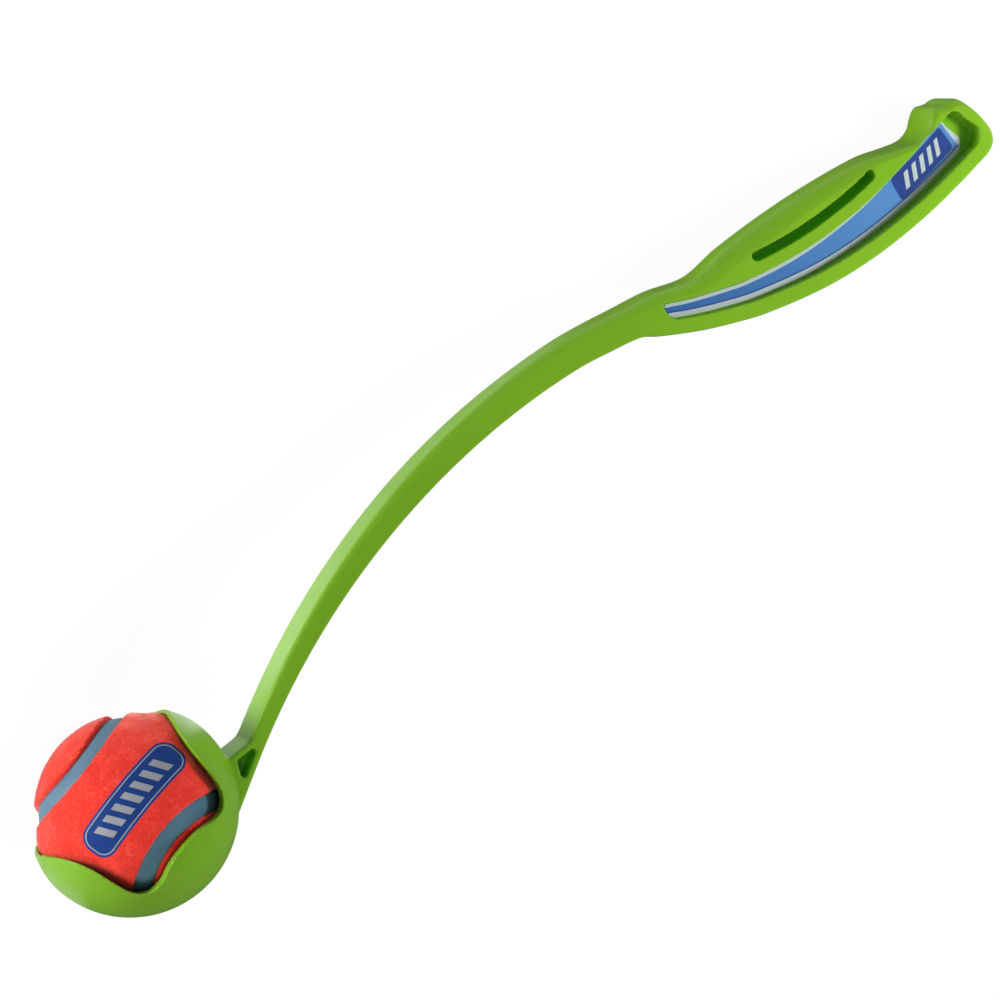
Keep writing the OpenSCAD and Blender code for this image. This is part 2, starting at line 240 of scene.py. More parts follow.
stick = {
    "neckX": 46.0, "neckY": -8.5, "neckAngle": 33.2, "bowRadius": 272.0,
    "strapY": -4.9, "strapWall": 2.4, "strapCorner": 1.2, "strapBend": 0.8, "strapWeb": 2.4,
    "depthNeck": 5.9, "depthGrip": 11.2, "thick": 14.0, "edge": 0.9,
    "reach": 408.2, "gripLength": 163.2, "gripThick": 19.0, "swellFrom": 0.33, "swellLength": 0.6,
    "palmEdge": 6.0, "bellyEdge": 1.6, "bellyDrop": 37.7, "thumbDip": 12.5,
    "humpRise": 6.7, "humpBack": 16.8, "humpFoot": 3.2, "humpStart": 0.29, "humpFall": 0.16,
    "humpCorner": 2.4, "buttDrop": 1.04, "endRise": 13.3, "endLength": 4.0, "endBow": 0.71,
    "ridgeDepth": 0.5, "ridgePitch": 7.4, "buttRound": 4.6, "lead": 24.0,
    "rootX": 25.9, "rootRadius": 34.0, "cornerSteps": 8, "roundShare": 0.9,
    # the palm's rounding meets the side face in a crease
    "palmArc": 20.0, "palmSpread": 1.3,
    "neckRings": 70, "shaftRings": 100, "gripRings": 120, "buttRings": 70, "buttTurn": 88.0,
    "rootDivisions": 6,
    # share of the grip's length, share of the belly's drop, the thumb's dip or the palm's edge
    "belly": [(-0.075, 0.112), (0.006, 0.187), (0.036, 0.27), (0.084, 0.385), (0.145, 0.518),
              (0.215, 0.646), (0.29, 0.765), (0.45, 0.932), (0.594, 0.998), (0.744, 0.99),
              (0.856, 0.94), (0.953, 0.876), (1.0, 0.847)],
    "palm": [(-0.075, -0.58), (0.006, -0.386), (0.091, -0.2), (0.19, 0.161), (0.288, 0.051),
             (0.415, 0.065), (0.561, 0.225), (0.699, 0.52), (0.78, 0.86), (0.825, 1.0),
             (0.857, 0.883)],
    "edges": [(0.0, 0.5), (0.33, 1.0), (0.6, 0.8), (0.74, 0.45), (0.825, 0.28), (0.9, 0.45),
              (1.0, 0.6)],
}
gripX = stick["reach"] - stick["gripLength"]
humpX = stick["reach"] - stick["humpBack"]
leadX = gripX - stick["lead"]
neckSlope = math.radians(stick["neckAngle"])
bowX = stick["neckX"] + stick["bowRadius"] * math.sin(neckSlope)
bowY = stick["neckY"] - stick["bowRadius"] * math.cos(neckSlope)


def softMax(a, b, width):
    return (a + b + math.sqrt((a - b) ** 2 + width ** 2)) / 2


def bowAt(x):
    if x < stick["neckX"]:
        return stick["neckY"] + (x - stick["neckX"]) * math.tan(neckSlope)
    return bowY + math.sqrt(stick["bowRadius"] ** 2 - (x - bowX) ** 2)


def halfDepth(x):
    slope = neckSlope if x < stick["neckX"] else -math.asin((x - bowX) / stick["bowRadius"])
    share = math.sin(math.pi / 2 * clamp((x - stick["neckX"]) / (gripX - stick["neckX"])))
    return mix(stick["depthNeck"], stick["depthGrip"], share) / 2 / math.cos(slope)


def shaftTop(x):
    return softMax(bowAt(x) + halfDepth(x), stick["strapY"], stick["strapBend"])


def shaftLow(x):
    return bowAt(x) - halfDepth(x)


def along(x):
    return (x - gripX) / stick["gripLength"]


gripY = bowAt(gripX)
dipY = gripY - stick["thumbDip"]
humpY = dipY + stick["humpRise"]
buttY = dipY - stick["buttDrop"] * stick["thumbDip"]


def humpLine(x):
    return humpY - stick["humpFall"] * (x - humpX)


def endLine(x):
    back = max(0.0, stick["reach"] - x) / stick["endLength"]
    return buttY + stick["endRise"] * back ** stick["endBow"]


leadIn = [leadX - stick["lead"], leadX - stick["lead"] / 2, leadX]
palmLine = ([(along(x), shaftTop(x)) for x in leadIn]
            + [(a, gripY - b * stick["thumbDip"]) for a, b in stick["palm"]]
            + [(along(humpX - stick["humpFoot"]), humpY - stick["humpStart"] * stick["humpRise"]),
               (along(humpX), humpY),
               (along(humpX + stick["humpFoot"]), humpLine(humpX + stick["humpFoot"]))])
bellyLine = ([(along(x), shaftLow(x)) for x in leadIn]
             + [(a, gripY - b * stick["bellyDrop"]) for a, b in stick["belly"]])


def topAt(x):
    if x < leadX:
        return shaftTop(x)
    if x < humpX:
        return curveAt(palmLine, along(x))
    groove = 0.0
    if x < humpX + 2 * stick["ridgePitch"]:
        wave = math.cos(2 * math.pi * (x - humpX) / stick["ridgePitch"])
        groove = stick["ridgeDepth"] / 2 * (1 - wave)
    return max(buttY, -softMax(-humpLine(x), -endLine(x), stick["humpCorner"]) - groove)


def lowAt(x):
    y = shaftLow(x) if x < leadX else curveAt(bellyLine, along(x))
    t = clamp((x - humpX) / stick["humpBack"])
    return mix(buttY, y, quarter(max(0.0, 2 * t - 1)))


def halfAt(x):
    t = clamp((x - stick["reach"] + stick["buttRound"]) / stick["buttRound"])
    swell = ease((along(x) + stick["swellFrom"]) / stick["swellLength"])
    return mix(stick["thick"], stick["gripThick"], swell) / 2 - stick["buttRound"] * (1 - quarter(t))


def palmRound(x):
    if x < gripX:
        share = ease((x - stick["neckX"]) / (gripX - stick["neckX"]))
        return mix(stick["edge"], stick["palmEdge"] * stick["edges"][0][1], share)
    return stick["palmEdge"] * curveAt(stick["edges"], along(x))


def bellyRound(x):
    return mix(stick["edge"], stick["bellyEdge"], ease((x - bowX) / (gripX - bowX)))


def palmCorner(x, top, half, r):
    arc = math.radians(stick["palmArc"])
    corner = []
    for i in range(stick["cornerSteps"] + 1):
        a = arc * i / stick["cornerSteps"]
        out = math.sin(a) / math.sin(arc)
        drop = (1 - math.cos(a)) / (1 - math.cos(arc))
        corner.append((x, top - r * drop, half - stick["palmSpread"] * r * (1 - out)))
    return corner


def stickSection(x):
    top, low, half = topAt(x), lowAt(x), halfAt(x)
    most = stick["roundShare"] * min((top - low) / 2, half)
    palm, belly = min(palmRound(x), most), min(bellyRound(x), most)
    crown = palmCorner(x, top, half, palm)
    ring = crown[:]
    for start, side in ((90, 1), (180, -1)):
        for i in range(stick["cornerSteps"] + 1):
            a = math.radians(start + 90 * i / stick["cornerSteps"])
            ring.append((x, low + belly * (1 + math.cos(a)), side * (half - belly) + belly * math.sin(a)))
    return ring + [(x, y, -z) for x, y, z in reversed(crown)]


def stations():
    spans = ((stick["rootX"], stick["neckX"], stick["neckRings"]),
             (stick["neckX"], gripX, stick["shaftRings"]), (gripX, humpX, stick["gripRings"]))
    row = [mix(a, b, i / n) for a, b, n in spans for i in range(n)]
    last = stick["buttRings"]
    turns = [math.radians(stick["buttTurn"] * i / last) for i in range(last + 1)]
    return row + [humpX + stick["humpBack"] * math.sin(a) for a in turns]


# wand: recess for the label, and the slot beside it

hollow = {
    "web": 6.0, "rise": 4.0, "rim": 6.3, "width": 16.6, "start": 13.4, "end": 6.0,
    "narrowRound": 2.6, "broadRound": 5.0, "lean": 3.4, "leanLength": 20.0,
    "shape": [(0.08, 0.43), (0.2, 0.485), (0.35, 0.555), (0.515, 0.69), (0.65, 0.805),
              (0.72, 0.885), (0.8, 0.957), (0.89, 1.0), (1.0, 0.98)],
    "slotWidth": 3.8, "slotLength": 59.0, "slotDepth": 6.4, "slotLand": 4.9, "slotStart": 0.322,
    "cornerStep": 9, "rowSteps": 60, "cutReach": 30.0,
}
recessX1 = gripX + hollow["start"]
recessX2 = stick["reach"] - hollow["end"]
recessTilt = math.atan(hollow["rise"] / (recessX2 - recessX1))
recessFloor = (Matrix.Translation((recessX2, 0, hollow["web"] / 2)) @ Matrix.Rotation(recessTilt, 4, "Y")
               @ Matrix.Translation((-recessX2, 0, 0)))


def recessLow(x):
    return curveAt(bellyLine, along(x)) + hollow["rim"]


def recessWidth(x):
    return hollow["width"] * curveAt(hollow["shape"], along(x))


def recessMiddle(x):
    return recessLow(x) + recessWidth(x) / 2


def leaned(x):
    return x - hollow["lean"] * ease(1 - (recessX2 - x) / hollow["leanLength"])


def slotMiddle(x):
    return recessLow(x) + recessWidth(x) + hollow["slotLand"] + hollow["slotWidth"] / 2


def stripRow(x1, x2, r1, r2):
    step, count = hollow["cornerStep"], hollow["rowSteps"]
    row = [x1 + r1 * (1 - math.cos(math.radians(a))) for a in range(0, 90, step)]
    row += [mix(x1 + r1, x2 - r2, i / count) for i in range(count)]
    return row + [x2 - r2 + r2 * math.sin(math.radians(a)) for a in range(0, 91, step)]


def stripHalf(h, x, x1, x2, r1, r2):
    return (h - r1 * (1 - quarter(clamp((x1 + r1 - x) / r1)))
            - r2 * (1 - quarter(clamp((x - x2 + r2) / r2))))


def recessOutline():
    ends = (recessX1, recessX2, hollow["narrowRound"], hollow["broadRound"])
    row = [(x, stripHalf(recessWidth(x) / 2, x, *ends)) for x in stripRow(*ends)]
    under = [(x, recessMiddle(x) - h) for x, h in row]
    return under + [(leaned(x), recessMiddle(x) + h) for x, h in reversed(row)]


def slotOutline():
    r = hollow["slotWidth"] / 2
    x1 = gripX + hollow["slotStart"] * stick["gripLength"]
    ends = (x1, x1 + hollow["slotLength"], r, r)
    row = [(x, stripHalf(r, x, *ends)) for x in stripRow(*ends)]
    under = [(x, slotMiddle(x) - h) for x, h in row]
    return under + [(x, slotMiddle(x) + h) for x, h in row[-2:0:-1]]


def roundCorner(a, b, c, r, count=6):
    a, b, c = Vector(a), Vector(b), Vector(c)
    u, v = (a - b).normalized(), (c - b).normalized()
    half = u.angle(v) / 2
    centre = b + (u + v).normalized() * r / math.sin(half)
    start = b + u * r / math.tan(half) - centre
    turn = math.pi - 2 * half
    if u.cross(v) > 0:
        turn = -turn
    return [tuple(centre + Matrix.Rotation(turn * i / count, 2) @ start) for i in range(count + 1)]


def neckPocket():
    wall = stick["strapWall"]
    r = cup["radius"] + wall
    top = stick["strapY"] - wall
    slope = math.tan(neckSlope)
    low = shaftLow(stick["neckX"]) + wall / math.cos(neckSlope) - stick["neckX"] * slope
    foot = (-low * math.sin(neckSlope) * math.cos(neckSlope)
            + math.sqrt(r * r - (low * math.cos(neckSlope)) ** 2) * math.cos(neckSlope))
    corners = [(math.sqrt(r * r - top * top), top), (foot, low + foot * slope),
               ((top - low) / slope, top)]
    return [p for i in range(3) for p in roundCorner(
        corners[i - 1], corners[i], corners[(i + 1) % 3], stick["strapCorner"])]


# wand: ball cup, turned as one bowl and opened by the two side windows

cup = {
    "radius": 36.75, "seat": 33.0, "mouthAngle": 102.0, "steps": 128,
    "tipFrom": 12.8, "tipRise": 1.2, "tipTaper": 0.8, "tipTilt": -5.0, "lip": 33.0, "lipGrow": 1.1,
    "tilt": -4.5, "bowlRows": 60, "tipRows": 12, "lipRows": 9, "seatRows": 40, "rimSteps": 4,
    "merge": 0.001, "cutReach": 60.0,
    # across the jaws, along the mouth
    "rim": [(0.0, -11.6), (5.0, -12.0), (7.6, -12.6), (10.0, -13.6), (14.0, -15.4), (17.7, -15.7),
            (20.6, -14.2), (22.5, -11.6), (23.5, -8.8), (24.1, -6.0), (24.55, -3.2), (24.95, -0.6),
            (25.4, 2.2), (25.9, 4.7), (26.5, 6.7), (27.1, 8.4), (27.8, 10.1), (28.7, 11.6),
            (29.7, 12.8), (30.8, 13.8), (32.2, 15.0), (34.0, 16.5)],
}
cupTurn = (Matrix.Rotation(math.radians(cup["mouthAngle"] - 90), 4, "Z")
           @ Matrix.Rotation(math.radians(cup["tilt"]), 4, "X"))
rimRow = [mix(a[0], b[0], i / cup["rimSteps"]) for a, b in zip(cup["rim"], cup["rim"][1:])
          for i in range(cup["rimSteps"])]
rimLine = [(b, curveAt(cup["rim"], b)) for b in rimRow]


def lipInside(h):
    return math.sqrt((cup["lip"] + cup["lipGrow"] * h / cup["tipFrom"]) ** 2 - h * h)


def bowlOutside(h):
    return math.sqrt((cup["radius"] - cup["tipTaper"] * clamp(h / cup["tipFrom"]) ** 2) ** 2 - h * h)


def makeCup():
    bm = bmesh.new()
    low, high = -math.pi / 2, math.asin(cup["tipFrom"] / cup["radius"])
    count = cup["bowlRows"]
    angles = [mix(low, high, i / count) for i in range(count + 1)]
    heights = [cup["radius"] * math.sin(a) for a in angles]
    profile = [(bowlOutside(h), h) for h in heights]
    outer, inner = profile[-1][0], lipInside(cup["tipFrom"])
    for i in range(1, cup["tipRows"]):
        a = math.pi * i / cup["tipRows"]
        profile.append(((outer + inner) / 2 + (outer - inner) / 2 * math.cos(a),
                        cup["tipFrom"] + cup["tipRise"] * math.sin(a)))
    for i in range(cup["lipRows"]):
        h = cup["tipFrom"] * (1 - i / cup["lipRows"])
        profile.append((lipInside(h), h))
    for i in range(1, cup["seatRows"] + 1):
        a = low * i / cup["seatRows"]
        profile.append((cup["seat"] * math.cos(a), cup["seat"] * math.sin(a)))
    verts = [bm.verts.new((r, 0, h)) for r, h in profile]
    edges = [bm.edges.new(pair) for pair in zip(verts, verts[1:])]
    bmesh.ops.spin(bm, geom=verts + edges, cent=(0, 0, 0), axis=(0, 0, 1), dvec=(0, 0, 0),
                   angle=math.radians(360), steps=cup["steps"], use_merge=True)
    bmesh.ops.remove_doubles(bm, verts=bm.verts, dist=cup["merge"])
    bmesh.ops.recalc_face_normals(bm, faces=bm.faces)
    stand = cupTurn @ Matrix.Rotation(math.radians(cup["tipTilt"] - 90), 4, "X")
    bmesh.ops.transform(bm, matrix=stand, verts=bm.verts)
    bowl = makePiece("wandCup", bm)
    far = cup["cutReach"]
    side = rimLine + [(far, cup["rim"][-1][1]), (far, far)]
    outline = side + [(-b, h) for b, h in reversed(side) if b > 0]
    cutAway(bowl, [makePrism("windowCut", outline, -far, far, cupTurn)])
    return bowl


moulding = {"voxel": 0.45, "softening": 2, "softenFactor": 0.5, "triangles": 190000}


def makeWand():
    bm = bmesh.new()
    loftRings(bm, [stickSection(x) for x in stations()])
    wand = makePiece("wandMoulding", bm)
    recess, slot, pocket = recessOutline(), slotOutline(), neckPocket()
    otherSide = Matrix.Scale(-1, 4, (0, 0, 1))
    slotZ, webZ = stick["gripThick"] / 2 - hollow["slotDepth"], stick["strapWeb"] / 2
    far = hollow["cutReach"]
    root = bmesh.new()
    bmesh.ops.create_icosphere(root, subdivisions=stick["rootDivisions"], radius=stick["rootRadius"])
    cutAway(wand, [
        makePrism("recessFront", recess, 0, far, recessFloor),
        makePrism("recessBack", recess, 0, far, otherSide @ recessFloor),
        makePrism("slotFront", slot, slotZ, far), makePrism("slotBack", slot, -far, -slotZ),
        makePrism("pocketFront", pocket, webZ, far), makePrism("pocketBack", pocket, -far, -webZ),
        makePiece("rootCut", root)])
    bowl = makeCup()
    both = bmesh.new()
    both.from_mesh(wand.data)
    both.from_mesh(bowl.data)
    both.to_mesh(wand.data)
    both.free()
    bpy.data.objects.remove(bowl)
    skin = wand.modifiers.new("skin", "REMESH")
    skin.mode = "VOXEL"
    skin.voxel_size = moulding["voxel"]
    applyModifiers(wand)
    bm = bmesh.new()
    bm.from_mesh(wand.data)
    for i in range(moulding["softening"]):
        bmesh.ops.smooth_vert(bm, verts=bm.verts, factor=moulding["softenFactor"],
                              use_axis_x=True, use_axis_y=True, use_axis_z=True)
    bm.to_mesh(wand.data)
    bm.free()
    thin = wand.modifiers.new("thin", "DECIMATE")
    thin.ratio = moulding["triangles"] / (2 * len(wand.data.polygons))
    applyModifiers(wand)
    wand.data.transform(laidDown)
    for face in wand.data.polygons:
        face.use_smooth = True
    print("wand moulding:", len(wand.data.polygons), "faces")
    return wand


# ball: felt panels with their nap, and the seam between them

ball = {
    "felt": 31.7, "bed": 29.1, "seam": 31.3, "seamWidth": 7.1, "seamGap": 0.1, "seamDome": 0.25,
    "waist": 37.2, "turn": (25.2, -17.8, -123.8), "over": 0.1, "edgeRound": 0.8, "edgeDrop": 0.5,
    "lump": 0.4, "lumpScale": 5.0, "grain": 0.1, "grainScales": (30.0, 62.0),
    "puff": 1.0, "puffFrom": 0.5, "puffOver": 4.0, "swell": 2.2, "swellFrom": 1.5, "swellOver": 5.0,
    "divisions": 7, "snap": 0.34, "slack": 0.01, "seeds": (11, 29),
    "curveSteps": 720, "slopeStep": 0.001, "seamSteps": 360, "seamColumns": 5, "domePower": 4,
}
# loose fibres of the nap: rises and leans are shares of a fibre's own length
fibre = {
    "count": 15000, "length": 1.0, "width": 0.07, "sink": 0.15, "fromSeam": 0.1, "fromBadge": 0.4,
    "share": (0.5, 1.0), "kneeRise": 0.5, "kneeLean": 0.35, "kneeWidth": 0.8,
    "tipRise": (0.5, 0.75), "tipLean": (0.7, 1.1),
}
seamA = (1 + math.sin(math.radians(ball["waist"]))) / 2
seamB = 1 - seamA
ballTurn = Euler([math.radians(a) for a in ball["turn"]]).to_matrix().to_4x4()
ballPlace = laidDown @ ballTurn
# printed badge on the waist of the front panel, with a row of slanted bars
badge = {"along": -3.4, "across": 2.4, "halfLength": 22.4, "halfWidth": 6.4, "round": 5.2,
         "line": 1.0, "lineHalf": 0.2,
         "pitch": 4.8, "barHalf": 1.3, "slant": 0.42, "rowHalf": 16.8, "barHigh": 3.2}


def seamLine(t):
    return Vector((seamA * math.cos(t) + seamB * math.cos(3 * t),
                   seamA * math.sin(t) - seamB * math.sin(3 * t),
                   2 * math.sqrt(seamA * seamB) * math.sin(2 * t)))


def seamSide(t):
    step = ball["slopeStep"]
    return seamLine(t).cross(seamLine(t + step) - seamLine(t - step)).normalized()


seamPoints = [seamLine(2 * math.pi * i / ball["curveSteps"]) for i in range(ball["curveSteps"])]
seamSides = [seamSide(2 * math.pi * i / ball["curveSteps"]) for i in range(ball["curveSteps"])]


def nearTree(points):
    tree = kdtree.KDTree(len(points))
    for i, p in enumerate(points):
        tree.insert(p, i)
    tree.balance()
    return tree


seamTree = nearTree(seamPoints)
rimTree = nearTree([(b, h, 0) for b, h in rimLine])


# distance from the seam's middle along the ball, positive on the front panel, and the way across it
def seamDistance(p):
    i = seamTree.find(p)[1]
    return ball["felt"] * math.asin(max(-1.0, min(1.0, p.dot(seamSides[i])))), seamSides[i]


# distance from the badge's edge, negative on the print
def badgeDistance(p):
    if p.z < 0:
        return ball["felt"]
    u = abs((p.x - p.y) / math.sqrt(2) * ball["felt"] - badge["along"])
    v = abs((p.x + p.y) / math.sqrt(2) * ball["felt"] - badge["across"])
    r = badge["round"]
    return math.hypot(max(0, u - badge["halfLength"] + r), max(0, v - badge["halfWidth"] + r)) - r


# the nap stands up where the cup doesn't press it, and swells over the jaws
def napLift(p):
    q = cupTurn.inverted() @ ballTurn @ p * ball["felt"]
    across = abs(q.x)
    gap = rimTree.find((across, q.y, 0))[2]
    if q.y < curveAt(cup["rim"], min(across, cup["rim"][-1][0])):
        gap = -gap
    swell = clamp(q.y / cup["tipFrom"]) * (1 - ease((gap - ball["swellFrom"]) / ball["swellOver"]))
    puff = ball["puff"] * ease((gap - ball["puffFrom"]) / ball["puffOver"])
    return mix(puff, ball["swell"], swell)


def addFibres(bm, side, seed):
    draw = random.Random(seed)
    made = 0
    while made < fibre["count"]:
        p = Vector([draw.gauss(0, 1) for i in range(3)]).normalized()
        d = seamDistance(p)[0] * side
        if d < ball["seamWidth"] / 2 + fibre["fromSeam"] or badgeDistance(p) < fibre["fromBadge"]:
            continue
        made += 1
        lean = Vector([draw.gauss(0, 1) for i in range(3)]).cross(p).normalized()
        across = p.cross(lean) * fibre["width"] / 2
        root = p * (ball["felt"] - fibre["sink"] + napLift(p))
        size = fibre["length"] * draw.uniform(*fibre["share"])
        knee = root + p * size * fibre["kneeRise"] + lean * size * fibre["kneeLean"]
        rise = draw.uniform(*fibre["tipRise"])
        tip = root + p * size * rise + lean * size * draw.uniform(*fibre["tipLean"])
        narrow = across * fibre["kneeWidth"]
        strip = [bm.verts.new(q) for q in (root - across, root + across, knee + narrow, knee - narrow)]
        bm.faces.new(strip)
        bm.faces.new((strip[3], strip[2], bm.verts.new(tip)))


def makePanel(name, side, seed):
    bm = bmesh.new()
    bmesh.ops.create_icosphere(bm, subdivisions=ball["divisions"], radius=1.0)
    edge = ball["seamWidth"] / 2
    far = {}
    for v in bm.verts:
        p = v.co.normalized()
        d, across = seamDistance(p)
        d *= side
        if abs(d - edge) < ball["snap"]:  # the cut edge runs true along the seam
            p = (p + across * side * (edge - d) / ball["felt"]).normalized()
            d = edge
        v.co = p
        far[v] = d
    drop = [v for v in bm.verts if far[v] < edge - ball["slack"]]
    bmesh.ops.delete(bm, geom=drop, context="VERTS")
    for v in bm.verts:
        p = v.co.copy()
        inward = clamp(1 - (far[v] - edge) / ball["edgeRound"])
        grain = sum(noise.noise(p * scale) for scale in ball["grainScales"])
        lift = ball["lump"] * noise.noise(p * ball["lumpScale"] + Vector((seed, 0, 0)))
        lift += ball["grain"] * grain * clamp(badgeDistance(p)) + napLift(p)
        v.co = p * (ball["felt"] + ball["over"] + lift - ball["edgeDrop"] * (1 - quarter(inward)))
    rim = [e for e in bm.edges if e.is_boundary]
    wall = bmesh.ops.extrude_edge_only(bm, edges=rim)
    for v in wall["geom"]:
        if isinstance(v, bmesh.types.BMVert):
            v.co = v.co.normalized() * ball["bed"]
    bmesh.ops.recalc_face_normals(bm, faces=bm.faces)
    addFibres(bm, side, seed)
    bmesh.ops.transform(bm, matrix=ballPlace, verts=bm.verts)
    panel = makePiece(name, bm)
    print(name + ":", len(panel.data.polygons), "faces")
    return panel


def makeSeam():
    bm = bmesh.new()
    half = ball["seamWidth"] / 2 - ball["seamGap"]
    columns = [k / ball["seamColumns"] for k in range(-ball["seamColumns"], ball["seamColumns"] + 1)]
    top = ball["seam"] + ball["over"]
    section = [(s, top - ball["seamDome"] * abs(s) ** ball["domePower"]) for s in columns]
    section += [(1, ball["bed"]), (-1, ball["bed"])]
    rings = []
    for i in range(ball["seamSteps"]):
        t = 2 * math.pi * i / ball["seamSteps"]
        line, across = seamLine(t), seamSide(t)
        ring = []
        for s, r in section:
            a = s * half / ball["felt"]
            ring.append((line * math.cos(a) + across * math.sin(a)) * r)
        rings.append(ring)
    loftRings(bm, rings, closed=True)
    bmesh.ops.transform(bm, matrix=ballPlace, verts=bm.verts)
    seam = makePiece("seamBand", bm)
    print("seam band:", len(seam.data.polygons), "faces")
    return seam


# grip label: a film on the recess floor, with its distances kept for the print

label = {"gap": 0.7, "short": 5.0, "film": 0.3, "columns": 220, "rows": 28,
         "distances": ("fromBelly", "fromPalm", "fromEnd")}


def makeLabel():
    bm = bmesh.new()
    x1, x2 = recessX1 + label["gap"], recessX2 - label["gap"] - label["short"]
    rounds = (hollow["narrowRound"] - label["gap"], hollow["broadRound"] - label["gap"])
    bmesh.ops.create_grid(bm, x_segments=label["columns"], y_segments=label["rows"], size=1.0)
    layers = [bm.verts.layers.float.new(name) for name in label["distances"]]
    for v in bm.verts:
        gx, gy = v.co.x, v.co.y
        x = mix(x1, x2, 0.5 - 0.5 * math.cos(math.pi * (gx + 1) / 2))
        half = recessWidth(x) / 2 - label["gap"]
        shift = gy * stripHalf(half, x, x1, x2, *rounds)
        v.co = Vector((mix(x, leaned(x), (gy + 1) / 2), recessMiddle(x) + shift, label["film"]))
        for layer, distance in zip(layers, (half + shift, half - shift, x2 - x)):
            v[layer] = distance
    lower = bmesh.ops.extrude_face_region(bm, geom=bm.faces[:])
    under = [v for v in lower["geom"] if isinstance(v, bmesh.types.BMVert)]
    bmesh.ops.translate(bm, verts=under, vec=(0, 0, -label["film"]))
    bmesh.ops.recalc_face_normals(bm, faces=bm.faces)
    bmesh.ops.transform(bm, matrix=laidDown @ recessFloor, verts=bm.verts)
    film = makePiece("gripLabelFilm", bm)
    print("label film:", len(film.data.polygons), "faces")
    return film


# finishes

# the shade colour is painted shade, mixed into the wand's hollows
plastic = {
    "green": (0.215, 0.475, 0.013), "greenDeep": (0.195, 0.445, 0.010), "shade": (0.100, 0.480, 0.002),
    "cloudScale": 22, "flowScale": 160, "flowStretch": (0.25, 1, 1), "flowShare": 0.3, "tone": (0.35, 0.65),
    "paintedShadeReach": 0.007, "paintedShadeSpan": (0.2, 0.85), "rough": (0.31, 0.43), "roughScale": 90,
    "patchSpan": (0.3, 0.7), "grainScale": 1400, "grainBump": (0.06, 0.0002), "specular": 0.48,
}


def limePlastic():
    mat, tree, shader = newMaterial("limePlastic")
    space = objectSpace(tree)
    clouds = noiseField(tree, space, plastic["cloudScale"], detail=4)
    flow = noiseField(tree, objectSpace(tree, scale=plastic["flowStretch"]), plastic["flowScale"])
    tone = spread(tree, mixFields(tree, clouds, flow, plastic["flowShare"]), *plastic["tone"])
    colour = blendColour(tree, tone, plastic["greenDeep"], plastic["green"])
    # painted shade: ambient occlusion of the wand's own mesh mixes the shade colour into the green in the
    # slot, pockets, recess and other hollows
    paintedHollowShade = addNode(tree, "ShaderNodeAmbientOcclusion", only_local=True, samples=8,
                      Distance=plastic["paintedShadeReach"])
    lit = spread(tree, paintedHollowShade.outputs["AO"], *plastic["paintedShadeSpan"])
    join(tree, blendColour(tree, lit, plastic["shade"], colour), shader.inputs["Base Color"])
    patches = noiseField(tree, space, plastic["roughScale"], detail=5)
    join(tree, spread(tree, patches, *plastic["patchSpan"], *plastic["rough"]), shader.inputs["Roughness"])
    addBump(tree, shader, noiseField(tree, space, plastic["grainScale"], detail=2), *plastic["grainBump"])
    shader.inputs["Specular IOR Level"].default_value = plastic["specular"]
    return mat


felt = {
    "red": (0.90, 0.050, 0.032), "deep": (0.76, 0.032, 0.020), "pale": (0.95, 0.115, 0.085),
    "ink": (0.014, 0.055, 0.250), "bar": (0.36, 0.38, 0.41), "inkEdge": 0.15, "lineEdge": 0.06,
    "strandScale": 950, "tuftScale": 190, "tuftShare": 0.4,
    "redSpan": (0.38, 0.56), "paleSpan": (0.55, 0.68),
    # on the nap, then on the ink; the glow is painted light, an emission that brightens the nap
    "rough": (0.95, 0.6), "sheen": (0.85, 0.05), "glow": (0.15, 0.0), "relief": (1.0, 0.35),
    "sheenRough": 0.45, "sheenTint": (1.0, 0.50, 0.42, 1.0), "specular": 0.1,
    "glowShadeReach": 0.005, "glowShadeSpan": (0.3, 0.8), "strandBump": (0.3, 0.0005),
}
barEdge = {"side": 0.08, "row": 0.1, "end": 0.12}


# distance from a rounded box's edge, negative inside it
def roundedBox(tree, u, v, halfLength, halfWidth, r):
    a = maths(tree, "MAXIMUM", maths(tree, "SUBTRACT", maths(tree, "ABSOLUTE", u), halfLength - r), 0)
    b = maths(tree, "MAXIMUM", maths(tree, "SUBTRACT", maths(tree, "ABSOLUTE", v), halfWidth - r), 0)
    square = maths(tree, "ADD", maths(tree, "MULTIPLY", a, a), maths(tree, "MULTIPLY", b, b))
    return maths(tree, "SUBTRACT", maths(tree, "SQRT", square), r)


# a row of slanted bars: one on a bar, nought beside it
def slantedBars(tree, u, v, look):
    lean = maths(tree, "ADD", u, maths(tree, "MULTIPLY", v, look["slant"]))
    wave = maths(tree, "PINGPONG", lean, look["pitch"] / 2)
    bars = spread(tree, wave, look["barHalf"] + barEdge["side"], look["barHalf"] - barEdge["side"])
    row = spread(tree, maths(tree, "ABSOLUTE", lean), look["rowHalf"], look["rowHalf"] - barEdge["row"])
    high = spread(tree, maths(tree, "ABSOLUTE", v), look["barHigh"], look["barHigh"] - barEdge["end"])
    return maths(tree, "MULTIPLY", bars, maths(tree, "MULTIPLY", row, high))


